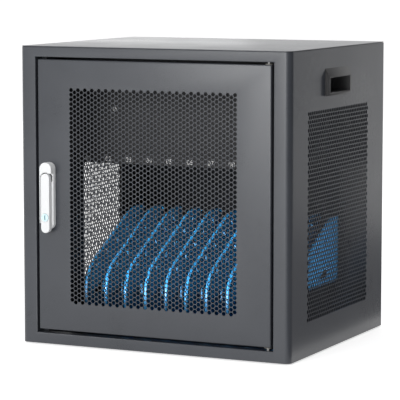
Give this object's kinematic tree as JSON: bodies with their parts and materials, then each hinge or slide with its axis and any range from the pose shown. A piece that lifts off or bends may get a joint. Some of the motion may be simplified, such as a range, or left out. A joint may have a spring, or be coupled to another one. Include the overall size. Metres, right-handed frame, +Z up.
{
  "type": "device charging cabinet",
  "caption": "Desktop steel charging cabinet with a perforated swing-handle door, perforated sides, carry handles and a divided tablet rack under a shelf with charging ports",
  "frame": {"origin": "On the floor, under the centre of the whole object's bounding box", "axes": "+X right as seen from the front, +Y to the rear, +Z up; the door faces -Y"},
  "size_m": [0.39, 0.334, 0.3885],
  "materials": {
    "case_paint": "fine matt powder coat, dark grey",
    "rack_paint": "matt powder coat, near black",
    "divider_blue": "satin moulded blue",
    "handle_silver": "satin light silver enamel",
    "bright_steel": "bright zinc",
    "lock_chrome": "polished",
    "bush_nylon": "natural nylon",
    "black_rubber": "matt",
    "black_plastic": "fine spark texture",
    "supply_case": "plain anodised",
    "board_green": "solder mask"
  },
  "bodies": {
    "cabinet": {"front_frame": "case_paint", "left_side_panel": "case_paint", "right_side_panel": "case_paint", "top_panel": "case_paint", "base_pan": "case_paint", "rear_panel": "case_paint", "foot_front_left": "black_rubber", "foot_front_right": "black_rubber", "foot_rear_left": "black_rubber", "foot_rear_right": "black_rubber", "hinge_pin_top": "bright_steel", "hinge_pin_bottom": "bright_steel", "door_bumper_upper": "black_rubber", "door_bumper_lower": "black_rubber", "carry_handle_left": "black_plastic", "carry_handle_right": "black_plastic", "inner_side_left": "rack_paint", "inner_side_right": "rack_paint", "shelf": "rack_paint", "upper_cover": "rack_paint", "power_supply": "supply_case", "port_board": "board_green", "supply_screw_left": "bright_steel", "supply_screw_right": "bright_steel", "cover_screw_left": "bright_steel", "cover_screw_right": "bright_steel", "strip_screw_left": "bright_steel", "strip_screw_right": "bright_steel", "rack_rail_front": "rack_paint", "rack_rail_rear": "rack_paint", "power_inlet": "black_plastic", "divider_01": "divider_blue", "divider_02": "divider_blue", "divider_03": "divider_blue", "divider_04": "divider_blue", "divider_05": "divider_blue", "divider_06": "divider_blue", "divider_07": "divider_blue", "divider_08": "divider_blue", "divider_09": "divider_blue", "divider_10": "divider_blue", "divider_11": "divider_blue"},
    "door": {"door_panel": "case_paint", "hinge_bush_top": "bush_nylon", "hinge_bush_bottom": "bush_nylon", "handle_housing": "handle_silver", "handle_nut": "bright_steel"},
    "handle_spindle": {"spindle": "bright_steel", "latch_cam": "bright_steel", "cam_screw": "bright_steel"},
    "handle_lever": {"lever": "handle_silver", "lever_pin": "bright_steel"},
    "lock": {"lock_plug": "lock_chrome"},
    "switch": {"switch_rocker": "black_plastic"}
  },
  "joints": [
    {"name": "door_hinge", "type": "hinge", "parent": "cabinet", "child": "door", "pos_m": [0.159, -0.1475, 0.195], "axis": [0, 0, 1], "range_deg": [0, 105]},
    {"name": "lever_turn", "type": "hinge", "parent": "door", "child": "handle_spindle", "pos_m": [-0.1475, -0.1535, 0.21875], "axis": [0, -1, 0], "range_deg": [0, 90]},
    {"name": "lever_lift", "type": "hinge", "parent": "handle_spindle", "child": "handle_lever", "pos_m": [-0.1475, -0.1621, 0.21875], "axis": [-1, 0, 0], "range_deg": [0, 30]},
    {"name": "key_turn", "type": "hinge", "parent": "handle_lever", "child": "lock", "pos_m": [-0.1475, -0.167, 0.16825], "axis": [0, -1, 0], "range_deg": [0, 90]},
    {"name": "switch_tilt", "type": "hinge", "parent": "cabinet", "child": "switch", "pos_m": [0.11, 0.165, 0.318], "axis": [-1, 0, 0], "range_deg": [0, 12]}
  ]
}
